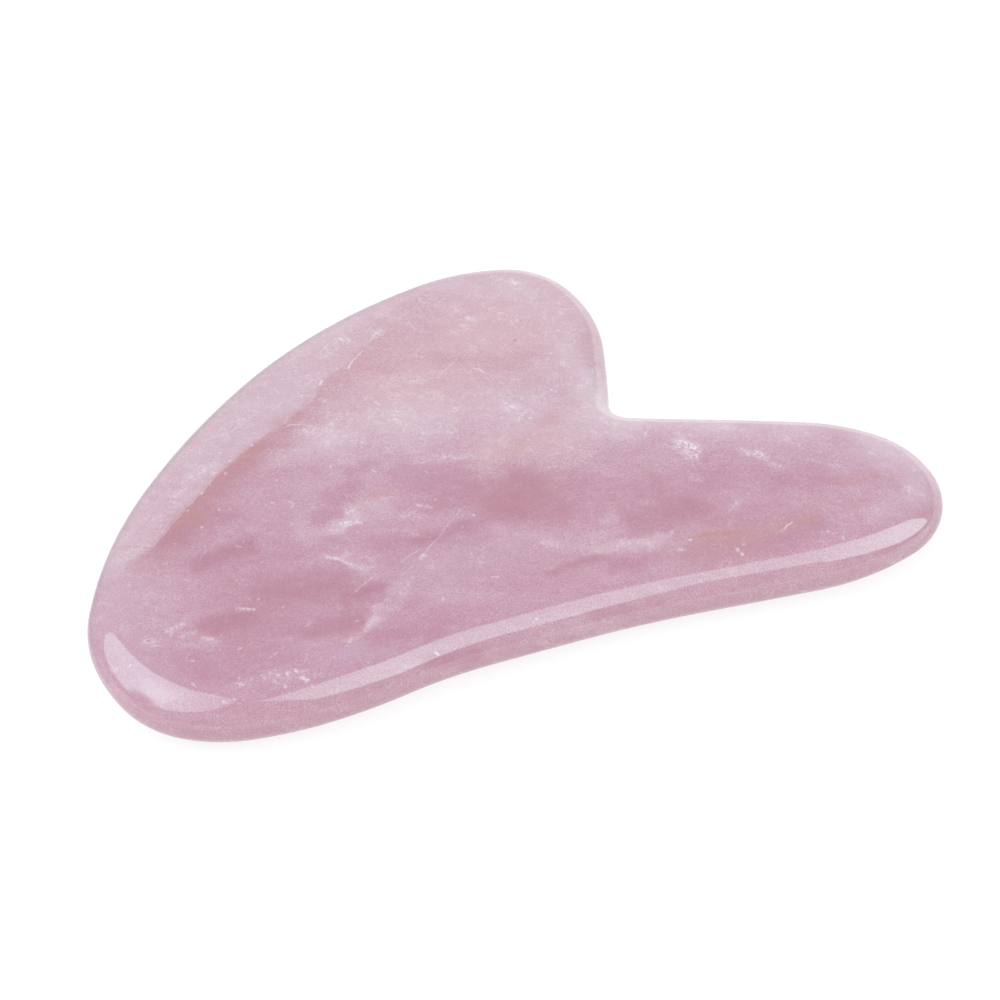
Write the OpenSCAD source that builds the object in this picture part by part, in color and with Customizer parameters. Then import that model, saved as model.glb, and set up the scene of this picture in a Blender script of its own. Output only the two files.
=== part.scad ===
// Heart-shaped gua sha scraper: one flat plate of rose quartz, sawn from the
// rough, ground to its outline and polished all over.
//
// Frame: millimetres, +Z up, the plate lying on its flat underside at Z = 0.
// +X is along the long scraping edge, from the tip (-X) to the small lobe (+X);
// +Y points from the hollow scraping edge to the broad lobe.  The origin is the
// middle of the bounding box, on the underside.
//
// The outline is a closed chain of tangent arcs, set out by thirteen stations.
// Each station has a place (x, y) and a direction of travel in degrees (0 = +X,
// 90 = +Y), going round counter-clockwise from the crown.  Two arcs of equal
// tangent length join each station to the next, so the edge is smooth at every
// station.  The finished outline is then shifted to put its box on the origin.

/* [Plate] */
// Thickness of the stone between its two flat faces
thickness = 7; // [5.5:0.1:8]
// Width of the rounded rim, measured inwards from the outline; always more than half the thickness
rim_width = 4.5; // [4.1:0.1:5.2]
// Radius of the nose of the rim, the part that touches the skin
nose_radius = 2.3; // [1.5:0.1:2.5]

/* [Broad lobe] */
// Crown of the broad lobe, X
crown_x = 4.2; // [3:0.1:5.5]
// Crown of the broad lobe, Y
crown_y = 26.5; // [26:0.1:27.5]
// Direction of the outline at the crown
crown_dir = 188.5; // [186:0.5:191]
// Middle of the long convex side, X
side_x = -17.7; // [-19:0.1:-16.5]
// Middle of the long convex side, Y
side_y = 18.1; // [17.3:0.1:19]
// Direction of the outline at the middle of the long side
side_dir = 213.5; // [211:0.5:216]
// Outer corner of the broad lobe, above the notch, X
corner_x = 19; // [18:0.1:20]
// Outer corner of the broad lobe, above the notch, Y
corner_y = 20; // [19:0.1:21]
// Direction of the outline at that corner
corner_dir = 105.5; // [100:0.5:110]

/* [Tip] */
// Shoulder of the tip, X
shoulder_x = -40.5; // [-41.5:0.1:-39.5]
// Shoulder of the tip, Y
shoulder_y = -6.6; // [-7.6:0.1:-5.6]
// Direction of the outline at the shoulder
shoulder_dir = 245; // [242:0.5:249]
// End of the tip, X
tip_x = -40.9; // [-41.9:0.1:-39.9]
// End of the tip, Y
tip_y = -18.6; // [-19.5:0.1:-17.6]
// Direction of the outline at the end of the tip
tip_dir = 288.5; // [284:0.5:293]
// Foot of the tip, X
foot_x = -30.9; // [-32:0.1:-29.5]
// Foot of the tip, Y
foot_y = -26.2; // [-27:0.1:-25.4]
// Direction of the outline at the foot
foot_dir = 350.5; // [347:0.5:354]

/* [Scraping edge] */
// Start of the hollow edge, X
hollow_x = -15.3; // [-16.5:0.1:-14]
// Start of the hollow edge, Y
hollow_y = -25.8; // [-26.2:0.1:-25.4]
// Direction of the outline where the hollow starts
hollow_dir = 10.5; // [8:0.5:12]
// Deepest part of the hollow, X
deepest_x = 3; // [1:0.1:5]
// Deepest part of the hollow, Y
deepest_y = -24.9; // [-25.3:0.1:-24.2]
// Direction of the outline at the deepest part
deepest_dir = 0; // [-1:0.5:1]

/* [Small lobe] */
// Heel of the small lobe, at the end of the hollow edge, X
heel_x = 25.8; // [24.8:0.1:26.8]
// Heel of the small lobe, Y
heel_y = -26.6; // [-27.2:0.1:-26]
// Direction of the outline at the heel
heel_dir = -5.5; // [-7:0.5:-4]
// End of the small lobe, X
lobe_x = 41.8; // [41:0.1:43]
// End of the small lobe, Y
lobe_y = -17.9; // [-18.6:0.1:-17.2]
// Direction of the outline at the end of the small lobe
lobe_dir = 89; // [85:0.5:93]
// Back of the small lobe, X
back_x = 32.7; // [31.7:0.1:33.7]
// Back of the small lobe, Y
back_y = -6.2; // [-7:0.1:-5.4]
// Direction of the outline at the back of the small lobe
back_dir = 156; // [153:0.5:158]

/* [Notch] */
// Lower lip of the notch between the lobes, X
lower_lip_x = 17.2; // [16.8:0.1:18]
// Lower lip of the notch, Y
lower_lip_y = 0.3; // [-0.2:0.1:0.5]
// Direction of the outline at the lower lip
lower_lip_dir = 157.5; // [155:0.5:160]
// Upper lip of the notch, X
upper_lip_x = 16.3; // [15.9:0.1:16.7]
// Upper lip of the notch, Y
upper_lip_y = 3.7; // [3.5:0.1:4.3]
// Direction of the outline at the upper lip
upper_lip_dir = 70; // [67:0.5:74]

/* [Facets] */
// Flats across each shoulder of the rim
shoulder_flats = 5; // [3:1:6]
// Flats across the nose of the rim
nose_flats = 5; // [4:1:7]
// Largest turn of the outline between two neighbouring sections, degrees
turn_step = 6; // [5:0.5:12]
// Largest distance along the outline between two neighbouring sections
length_step = 2.6; // [2.4:0.1:5]

/* [Hidden] */

rose_quartz = "#D9AFC0";

// How far the blank stands proud of the slab at its hub, on either face.
crowning = 1;
// How far the slab reaches past the outline's box on each side.
slab_margin = 5;
// Turns smaller than this, in degrees, count as straight.
straight_turn = 0.001;

// Stations as [x, y, direction], in order round the outline.
stations = [
    [crown_x,     crown_y,     crown_dir],
    [side_x,      side_y,      side_dir],
    [shoulder_x,  shoulder_y,  shoulder_dir],
    [tip_x,       tip_y,       tip_dir],
    [foot_x,      foot_y,      foot_dir],
    [hollow_x,    hollow_y,    hollow_dir],
    [deepest_x,   deepest_y,   deepest_dir],
    [heel_x,      heel_y,      heel_dir],
    [lobe_x,      lobe_y,      lobe_dir],
    [back_x,      back_y,      back_dir],
    [lower_lip_x, lower_lip_y, lower_lip_dir],
    [upper_lip_x, upper_lip_y, upper_lip_dir],
    [corner_x,    corner_y,    corner_dir]
];

// ---- outline --------------------------------------------------------------

function unit(angle) = [cos(angle), sin(angle)];

// The same angle, brought into -180 to 180.
function wrap(angle) = angle - 360 * floor((angle + 180) / 360);

function place(station) = [station[0], station[1]];

// One arc as [start, direction, turn in degrees, length].
function arc(start, start_dir, end, end_dir) =
    let (turn = wrap(end_dir - start_dir),
         chord = norm(end - start),
         half = turn / 2)
    [start, start_dir, turn,
     abs(turn) < straight_turn ? chord : chord * (half * PI / 180) / sin(half)];

// Length of the two equal tangents that join two stations: the root of
// a * length^2 + b * length + c = 0, which is linear for parallel directions.
function tangent_length(from, to) =
    let (gap = place(to) - place(from),
         from_unit = unit(from[2]),
         to_unit = unit(to[2]),
         a = 2 * (from_unit * to_unit - 1),
         b = -2 * (gap * (from_unit + to_unit)),
         c = gap * gap)
    abs(a) < 1e-9 ? -c / b : (-b - sqrt(b * b - 4 * a * c)) / (2 * a);

// The two tangent arcs between two stations.  They meet half way between the
// ends of the two tangents, heading from one end to the other.
function arc_pair(from, to) =
    let (reach = tangent_length(from, to),
         from_end = place(from) + reach * unit(from[2]),
         to_end = place(to) - reach * unit(to[2]),
         joint = (from_end + to_end) / 2,
         joint_dir = atan2(to_end[1] - from_end[1], to_end[0] - from_end[0]))
    [arc(place(from), from[2], joint, joint_dir),
     arc(joint, joint_dir, place(to), to[2])];

// Section [x, y, direction] on an arc, fraction running from 0 to 1.
function on_arc(arc, fraction) =
    let (turn = arc[2] * fraction,
         chord = abs(arc[2]) < straight_turn
             ? arc[3] * fraction
             : 2 * (arc[3] / (arc[2] * PI / 180)) * sin(turn / 2),
         point = arc[0] + chord * unit(arc[1] + turn / 2))
    [point[0], point[1], arc[1] + turn];

function step_count(arc) = max(1, ceil(abs(arc[2]) / turn_step), ceil(arc[3] / length_step));

arcs = [for (i = [0 : len(stations) - 1])
            each arc_pair(stations[i], stations[(i + 1) % len(stations)])];

// Sections in the stations' coordinates, before the shift to the origin.
unshifted = [for (arc = arcs)
                 for (k = [0 : step_count(arc) - 1])
                     on_arc(arc, k / step_count(arc))];

box_low = [for (axis = [0, 1]) min([for (section = unshifted) section[axis]])];
box_high = [for (axis = [0, 1]) max([for (section = unshifted) section[axis]])];
box_size = box_high - box_low;
box_middle = (box_low + box_high) / 2;

sections = [for (section = unshifted)
                [section[0] - box_middle[0], section[1] - box_middle[1], section[2]]];

// A point that sees the whole outline: over the deepest part of the hollow
// edge, half way up to the level of the notch's upper lip.
hub = [deepest_x, (deepest_y + upper_lip_y) / 2] - box_middle;

// The point set back inwards from the outline at a section.
function set_back(section, inset) =
    [section[0] - inset * sin(section[2]), section[1] + inset * cos(section[2])];

// ---- rim profile ----------------------------------------------------------

// The rim is an oval: a nose arc between two larger shoulder arcs that run
// out tangent to the flat faces.
nose_centre = rim_width - nose_radius; // distance outwards from the edge of the flat face
shoulder_radius = (nose_centre * nose_centre + thickness * thickness / 4
                   - nose_radius * nose_radius) / (thickness - 2 * nose_radius);
// Elevation at which the nose arc hands over to the shoulder arcs.
handover = atan2(shoulder_radius - thickness / 2, nose_centre);

// Profile point [inset, height] where the surface normal has this elevation.
function rim_point(elevation) =
    abs(elevation) <= handover
        ? [nose_radius * (1 - cos(elevation)),
           thickness / 2 + nose_radius * sin(elevation)]
        : [rim_width - shoulder_radius * cos(elevation),
           thickness / 2 + sign(elevation) * (thickness / 2 - shoulder_radius)
               + shoulder_radius * sin(elevation)];

shoulder_step = (90 - handover) / shoulder_flats;
rim_elevations = concat(
    [for (k = [0 : shoulder_flats - 1]) -90 + k * (90 - handover) / shoulder_flats],
    [for (k = [0 : nose_flats]) -handover + k * 2 * handover / nose_flats],
    [for (k = [1 : shoulder_flats]) handover + k * (90 - handover) / shoulder_flats]);

// Rim profile from the edge of the underside round the nose to the edge of
// the top face.
rim = [for (elevation = rim_elevations) rim_point(elevation)];

// ---- solids ---------------------------------------------------------------

// The ground blank: the oval rim carried once round the outline, closed above
// and below by shallow crowns that rise from the edges of the flat faces.
module blank() {
    rim_size = len(rim);
    last = len(sections) - 1;
    lower_hub = len(sections) * rim_size;
    upper_hub = lower_hub + 1;
    // Index of the first rim point of each section; the last entry closes the ring.
    first = [for (i = [0 : last + 1]) (i % len(sections)) * rim_size];

    rim_points = [for (section = sections)
                      for (point = rim)
                          concat(set_back(section, point[0]), [point[1]])];
    hub_points = [concat(hub, [-crowning]), concat(hub, [thickness + crowning])];

    rim_faces = [for (i = [0 : last])
                     for (j = [0 : rim_size - 2])
                         [first[i] + j, first[i] + j + 1, first[i + 1] + j + 1, first[i + 1] + j]];
    lower_crown = [for (i = [0 : last]) [first[i], first[i + 1], lower_hub]];
    upper_crown = [for (i = [0 : last])
                       [first[i + 1] + rim_size - 1, first[i] + rim_size - 1, upper_hub]];

    polyhedron(
        points = concat(rim_points, hub_points),
        faces = concat(rim_faces, lower_crown, upper_crown),
        convexity = 10);
}

// The sawn slab, whose two faces become the plate's flat faces.
module slab() {
    translate([-box_size[0] / 2 - slab_margin, -box_size[1] / 2 - slab_margin, 0])
        cube([box_size[0] + 2 * slab_margin, box_size[1] + 2 * slab_margin, thickness]);
}

module scraper_plate() {
    color(rose_quartz)
        intersection() {
            blank();
            slab();
        }
}

scraper_plate();
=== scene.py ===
# Rose quartz gua sha scraper: a polished stone plate lying flat on a pale studio floor.
# The broad lobe points to +Y, the tip to -X, the small lobe to +X and the hollow scraping
# edge to -Y. The plate's thickness runs up Z. The design is in mm, in the plate's own frame.
import bpy
import math
import numpy as np
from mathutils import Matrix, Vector, noise
from mathutils.geometry import delaunay_2d_cdt


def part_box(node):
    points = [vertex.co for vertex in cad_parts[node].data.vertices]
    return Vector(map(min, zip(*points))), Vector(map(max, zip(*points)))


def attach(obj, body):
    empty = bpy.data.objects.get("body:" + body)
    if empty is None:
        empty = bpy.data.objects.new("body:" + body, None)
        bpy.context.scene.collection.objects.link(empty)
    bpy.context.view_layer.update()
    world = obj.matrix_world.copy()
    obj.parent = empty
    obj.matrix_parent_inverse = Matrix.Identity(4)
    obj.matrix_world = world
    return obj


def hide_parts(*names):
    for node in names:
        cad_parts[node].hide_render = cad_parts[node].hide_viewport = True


noise.seed_set(1)                       # otherwise noise_vector is seeded from the clock
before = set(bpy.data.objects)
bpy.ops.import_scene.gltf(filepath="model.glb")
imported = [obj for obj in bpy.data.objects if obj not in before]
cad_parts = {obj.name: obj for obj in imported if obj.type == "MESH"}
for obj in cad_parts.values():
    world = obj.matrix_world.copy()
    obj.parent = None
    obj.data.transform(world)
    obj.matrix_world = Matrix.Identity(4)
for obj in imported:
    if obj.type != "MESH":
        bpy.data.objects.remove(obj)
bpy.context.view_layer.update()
plate_lo, plate_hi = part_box("scraper_plate")
MM = 0.001
scene = bpy.context.scene

# ----------------------------------------------------------------------------
# Design of the outline and rim
# ----------------------------------------------------------------------------
# x, y, direction of travel in degrees; counter-clockwise seen from above
STATIONS = [
    (4.2, 26.5, 188.5),     # crown of the broad lobe
    (-17.7, 18.1, 213.5),   # long convex side
    (-40.5, -6.6, 245.0),   # shoulder of the tip
    (-40.9, -18.6, 288.5),  # end of the tip
    (-30.9, -26.2, 350.5),  # foot of the tip
    (-15.3, -25.8, 10.5),   # start of the hollow edge
    (3.0, -24.9, 0.0),      # deepest part of the hollow
    (25.8, -26.6, -5.5),    # heel of the small lobe
    (41.8, -17.9, 89.0),    # end of the small lobe
    (32.7, -6.2, 156.0),    # back of the small lobe
    (17.2, 0.3, 157.5),     # lower lip of the notch
    (16.3, 3.7, 70.0),      # upper lip of the notch
    (19.0, 20.0, 105.5),    # outer corner of the broad lobe
]
RIM = 4.5                   # width of the rounded rim in plan
NOSE = 2.3                  # radius of its outermost arc
THICK = (plate_hi.z - plate_lo.z) / MM
FLOOR_Z = plate_lo.z / MM
TOP_Z = THICK + FLOOR_Z

# Mesh spacing and segment counts
WIDE = 0.36                 # spacing of the rim's columns and of the open face
RIM_CLOSE = 0.13            # spacing of the columns beside the rim's inclusions
CLOSE = 0.115               # spacing of the face beside small marks
UNDER = 0.8                 # spacing of the underside
ROW_PITCH = 0.866           # row spacing of a triangular lattice, as a share of its step
UPPER_STEPS, NOSE_STEPS, LOWER_STEPS = 26, 9, 10

# ----------------------------------------------------------------------------
# What lies inside this stone. Veils, stains and clouds dip through it towards
# the scraping edge.
# ----------------------------------------------------------------------------
FACE_Z = 7.0                            # height of marks given without one
DIP = (-0.381, -1.003, 0.65)            # run of a veil per mm of depth

# x1, y1, x2, y2, radius, softness, tone (plus is milky, minus is deep pink)
ZONES = [
    # milky veil across the waist and round the notch
    (-12, 5.5, -3, 4.5, 3.2, 3.2, 0.75), (-3, 4.5, 6, 3.2, 3.2, 3.2, 0.45),
    (6, 3, 13, 1, 3.2, 3.2, 0.62), (13, 0, 15, -2.5, 2.4, 2.4, 0.75),
    (-18, 5, -12, 5, 1.3, 1.2, 0.5), (13, 8, 15.5, 4.5, 2.4, 2.5, 0.7),
    (2, -2, 10, -3.5, 2.2, 2.2, 0.6), (-16, 0, -4, -0.5, 1.5, 2.0, 0.3),
    (-25, 7, -16, 12.5, 2.0, 2.0, 0.35),
    # broad lobe
    (-5, 15, 11, 15, 8.5, 5.0, 0.68), (-5, 14.5, 2, 16.5, 2.4, 2.4, -0.3),
    (-4, 13.6, 3, 12, 1.2, 1.3, -0.3), (2, 11.7, 11.5, 9.5, 1.1, 1.0, -0.55),
    (3, 23, 13, 19, 2.5, 3.0, 0.15), (13, 19, 15, 12, 2.0, 3.0, 0.25),
    (-7, 20, -2, 21.5, 2.0, 2.0, 0.3), (6, 23.5, 13, 21, 2.0, 2.0, 0.35),
    (-14, 13, -9, 17, 2.5, 2.4, 0.1),
    # back of the small lobe and its end
    (16, -3, 24, -6, 2.0, 2.0, 0.6), (24, -6, 31, -9, 2.0, 2.0, 0.35),
    # the second entry here is a painted pale band: light refracted through the rim at the lobe's end
    (31, -9.5, 37, -14, 2.4, 2.2, 0.35), (37, -14, 39.3, -19, 2.2, 2.2, 0.85),
    (20, -7, 28, -10, 3.0, 3.0, 0.3),
    # tip
    (-37, -6, -39.5, -11, 3.2, 3.0, 0.25), (-36, -8, -34, -10, 3.0, 2.8, 0.2),
    # clouds and pale fracture faces inside
    (-18, -5.6, -11, -5.2, 1.7, 1.2, 0.5), (-16.5, -7, -13.8, -5.9, 0.5, 0.45, 0.7),
    (-10, -16, -3, -14.5, 2.8, 2.0, 0.15), (-10.5, -19, -7.5, -20.5, 1.0, 1.0, 0.4),
    (-13, -16.5, -15.8, -19, 1.1, 0.6, 0.65), (-16, -19.2, -20, -22, 0.45, 0.35, 0.6),
    (-1.5, -12, 3, -15, 0.9, 0.8, 0.25), (3, -15, 6.5, -18.2, 0.75, 0.6, 0.4),
    (6.5, -18.2, 13.5, -18.7, 0.75, 0.5, 0.5), (3.2, -11.9, 3.1, -13.2, 0.45, 0.3, 0.65),
    (8.9, -14.5, 9.1, -15.8, 0.4, 0.3, 0.6), (7, -16.6, 9.3, -16.5, 0.6, 0.5, 0.45),
    (-18, -9.8, -15.4, -12.8, 0.4, 0.45, 0.45), (-15.4, -12.8, -14.1, -14.2, 0.5, 0.5, 0.2),
    (-16.5, -10.5, -14.2, -12, 0.8, 0.8, 0.4), (-33.6, -16.3, -31, -17, 0.5, 0.5, 0.5),
    (0.5, -27.6, 5, -28, 1.0, 1.0, 0.5), (-4, -27.8, -1, -27.6, 0.9, 0.9, 0.6),
    (28, -13.3, 33, -15.8, 0.25, 0.35, 0.4),
    # deep pink between them; a milky patch at the notch, partly the stone's own and partly painted
    # light from the rim beside it; and a painted highlight where the rim's bright band ends on the
    # small lobe
    (-30, -2.2, -25, -1.2, 1.6, 1.5, -0.55), (-30, -6.8, -24.5, -6.4, 0.9, 0.8, -0.8),
    (-31, -14.8, -26.5, -15.2, 0.9, 0.9, -0.9), (-33, -19.6, -27, -20.5, 2.0, 2.0, -0.35),
    (-34, -22, -31, -22.8, 0.8, 0.8, -0.3), (-24, -12.4, -19, -13.6, 1.8, 1.7, -0.75),
    (-22, -19, -18, -18.6, 1.1, 1.0, -0.9), (-18, -16, -14.6, -15.4, 0.75, 0.5, -0.9),
    (-14, -2.1, -12.5, -1.2, 1.2, 1.0, -0.6), (-12, 0.8, -8, 0.9, 0.65, 0.5, -0.7),
    (-17, -4.6, -14.6, -4.4, 0.8, 0.6, -0.8), (-7, -2, -2, -5, 1.8, 1.4, -0.6),
    (-6, -6.6, -3.6, -7, 1.2, 1.0, -0.5), (0, -8.6, 3, -7.6, 2.2, 2.0, -0.9),
    (3, -8, 9, -8.6, 1.3, 1.5, -0.3), (1, -11, 5, -11.5, 1.8, 1.8, -0.7),
    (8, -11.5, 13, -13, 2.5, 2.5, -0.4), (11, -16, 17, -16.5, 1.4, 1.3, -0.65),
    (2, -18.7, 6, -19.2, 0.6, 0.5, -0.7), (7, -21, 10, -21, 1.0, 0.9, -0.55),
    (-3.8, -10.9, -2.5, -11.2, 0.8, 0.6, -0.65), (-9, -11.4, -5, -10.8, 0.9, 0.8, -0.8),
    (-13, -10, -11, -10.8, 1.0, 1.0, -0.35), (-17, -22, -11, -22.4, 1.1, 1.0, -0.45),
    (20, -12, 25, -13.8, 1.8, 1.5, -0.4), (27, -16, 30, -16.5, 1.2, 1.2, -0.55),
    (16, -12.5, 18, -15, 2.0, 2.0, -0.35), (14.5, -22.8, 27, -22.6, 1.5, 1.4, -0.5),
    (-14, -27, -9.5, -27.3, 0.9, 0.8, -0.6), (3, -26.6, 9, -27, 0.9, 0.8, -0.7),
    (-36, -18, -33, -17.6, 0.9, 0.9, -0.1), (-28, -12, -15, -18, 3.6, 3.6, -0.3),
    (-31, -5, -21, -8, 1.5, 2.2, -0.3), (-11, -11.5, -4, -13, 1.5, 1.8, -0.3),
    (15, -18, 24, -18.6, 1.6, 1.6, -0.35), (-2, -20, 7, -20.4, 1.2, 1.4, -0.2),
    (-15.6, -16.6, -14.5, -17.4, 0.6, 0.7, -0.4), (-29, -16.8, -24, -17.6, 1.3, 1.3, -0.4),
    # first the notch patch, partly painted rim light; then a painted highlight at the end of the
    # rim's band
    (14.6, 5, 15.4, 3, 1.0, 1.3, 0.8), (34, -23, 38, -22, 1.5, 1.5, 0.6),
]
# the same columns, the last being rust and tan iron stain
STAINS = [
    (14.2, -19.9, 16.5, -20.05, 0.16, 0.16, 0.9), (16.5, -20.05, 19.5, -20.6, 0.3, 0.3, 0.8),
    (17, -20.8, 27, -21.6, 1.1, 1.0, 0.42), (25.4, -21.35, 26.8, -21.75, 0.16, 0.24, 0.9),
    (20.2, -19.2, 21, -19.6, 0.4, 0.4, 0.35), (31.5, -17.6, 35, -18.1, 0.5, 0.5, 0.6),
    (35, -18.2, 36.6, -19.4, 0.16, 0.3, 0.5), (14, -22.2, 20, -22.8, 1.5, 1.4, 0.3),
    (2.8, -3.6, 5, -1.7, 0.25, 0.5, 0.3), (5, -1.7, 9, 0.6, 0.5, 0.9, 0.24),
    (9, 0.6, 11.5, 1.8, 0.4, 0.9, 0.2), (-11.4, -3.7, -9.4, -3.8, 0.35, 0.45, 0.55),
    (-16.2, 9.5, -13.8, 9.8, 0.45, 0.6, 0.6), (-20.4, 5.9, -19.2, 6.7, 0.5, 0.5, 0.6),
    (-22.3, 5.1, -20.8, 5.5, 0.35, 0.4, 0.5), (0, -8.6, 4, -8.4, 2.2, 2.2, 0.3),
    (-2.6, 19.4, -1.4, 20.2, 0.4, 0.5, 0.35), (-29.2, 0.3, -27.2, -0.4, 0.8, 0.8, 0.5),
]
# the same columns, the last being a cool lilac cast, or a warm one where minus
LILAC = [
    (-10, -16, -3, -14, 3.0, 2.2, 0.4), (-3, 12, 9, 14, 5.0, 5.0, -0.6),
    (2, -2, 9, -2.5, 1.6, 2.0, -0.5), (-24.5, -20, -20.5, -23, 1.3, 1.3, 0.35),
    (-20.5, -23, -16, -24.3, 1.0, 1.0, 0.5), (-20, 10, -13, 14, 2.6, 2.4, 0.1),
    (-27, 4.5, -24, 7, 1.5, 1.4, 0.15), (-29, 3, -15, 11.5, 2.4, 2.2, 0.12),
    (-38.5, -8, -38.5, -20, 2.5, 2.5, 0.45), (34, -14, 39, -20, 2.5, 2.5, 0.45),
    (-20, -1, -12, 2, 2.0, 2.0, 0.3), (-14.5, -13.5, -12.6, -15.8, 0.7, 0.7, 0.5),
    (20, -17.2, 22, -16, 0.8, 0.8, 0.4), (-24.5, -3, -22, 0, 1.0, 1.0, 0.35),
    (-7.5, -2, -3, -3.5, 1.5, 1.4, 0.3),
]
# the same columns, the last being the strength of a granular cloud
CLOUDS = [
    (19.2, -7.4, 19.8, -9.1, 0.75, 0.45, 1.0), (20.4, -8.0, 20.4, -8.6, 0.35, 0.3, 0.7),
    (24.4, -10.2, 24.8, -10.7, 0.35, 0.4, 0.8), (25.7, -11.2, 26.3, -12.1, 0.35, 0.35, 0.8),
    (26.6, -13.1, 27.2, -13.8, 0.2, 0.3, 0.6), (18.6, -12.1, 19.2, -12.6, 0.3, 0.35, 0.5),
    (20.4, -17.6, 21.5, -16.6, 0.3, 0.35, 0.35), (12.4, 21.0, 13.6, 20.4, 0.35, 0.35, 0.55),
    (6.7, 17.2, 7.1, 16.7, 0.3, 0.25, 0.7), (8.2, 17.2, 8.3, 17.0, 0.25, 0.25, 0.5),
    (-6.2, 19.0, -5.7, 18.4, 0.35, 0.35, 0.5), (-2.9, 18.4, -2.0, 18.7, 0.35, 0.3, 0.7),
    (-11.2, 11.0, -10.6, 10.6, 0.3, 0.3, 0.6), (-13.5, 7.0, -10.5, 5.6, 0.8, 0.7, 0.35),
    (-15.6, -6.0, -13.5, -6.6, 0.3, 0.25, 1.0), (-14.2, -5.6, -13.4, -4.7, 0.25, 0.3, 0.6),
    (-9.4, -7.4, -8.4, -7.0, 0.35, 0.35, 0.5), (-7.4, -6.2, -6.4, -7.2, 0.25, 0.25, 0.6),
    (-34.9, -14.3, -33.3, -13.8, 0.28, 0.25, 0.95), (-37.4, -14.8, -36.7, -15.2, 0.45, 0.4, 0.7),
    (-33.8, -15.3, -32.7, -15.3, 0.3, 0.3, 0.5), (-32.2, -16.2, -31.3, -16.7, 0.18, 0.2, 0.7),
    (-27.8, -13.8, -26.5, -14.4, 0.2, 0.15, 1.4), (-18.0, -9.9, -16.2, -11.9, 0.18, 0.2, 0.8),
    (-16.0, -12.2, -14.7, -12.8, 0.3, 0.3, 0.6), (-17.6, -20.6, -16.4, -19.5, 0.3, 0.25, 0.55),
    (-20.1, -22.0, -19.2, -21.2, 0.14, 0.12, 0.9), (-16.2, -18.2, -14.6, -17.4, 0.16, 0.2, 0.5),
    (-9.7, -13.5, -9.3, -13.3, 0.22, 0.2, 1.6), (-9.2, -14.9, -8.8, -15.0, 0.25, 0.25, 0.8),
    (8.4, -18.1, 13.4, -18.6, 0.35, 0.3, 0.3), (6.2, 3.6, 6.7, 3.1, 0.3, 0.35, 0.4),
    (14.4, 4.4, 14.9, 4.5, 0.25, 0.25, 0.6), (12.0, -2.8, 12.4, -3.1, 0.3, 0.3, 0.5),
    (-5.2, 5.6, -4.6, 4.5, 0.3, 0.35, 0.5), (-5.6, -0.6, -0.5, -1.6, 0.5, 0.5, 0.4),
    (37.4, -21.0, 38.2, -22.4, 0.3, 0.35, 0.5), (38.3, -22.6, 38.0, -24.3, 0.14, 0.2, 0.6),
    (-17.0, -25.6, -16.6, -26.3, 0.2, 0.25, 0.6), (-28.2, -23.0, -25.4, -23.8, 0.6, 0.6, 0.25),
    (-31.6, -23.4, -29.6, -23.0, 0.3, 0.4, 0.4), (-26.5, 5.0, -24.0, 5.6, 0.5, 0.6, 0.6),
    (-28.5, 3.2, -27.2, 3.6, 0.4, 0.5, 0.5), (-14.5, 7.4, -11.5, 6.8, 0.8, 0.8, 0.25),
]
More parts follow.
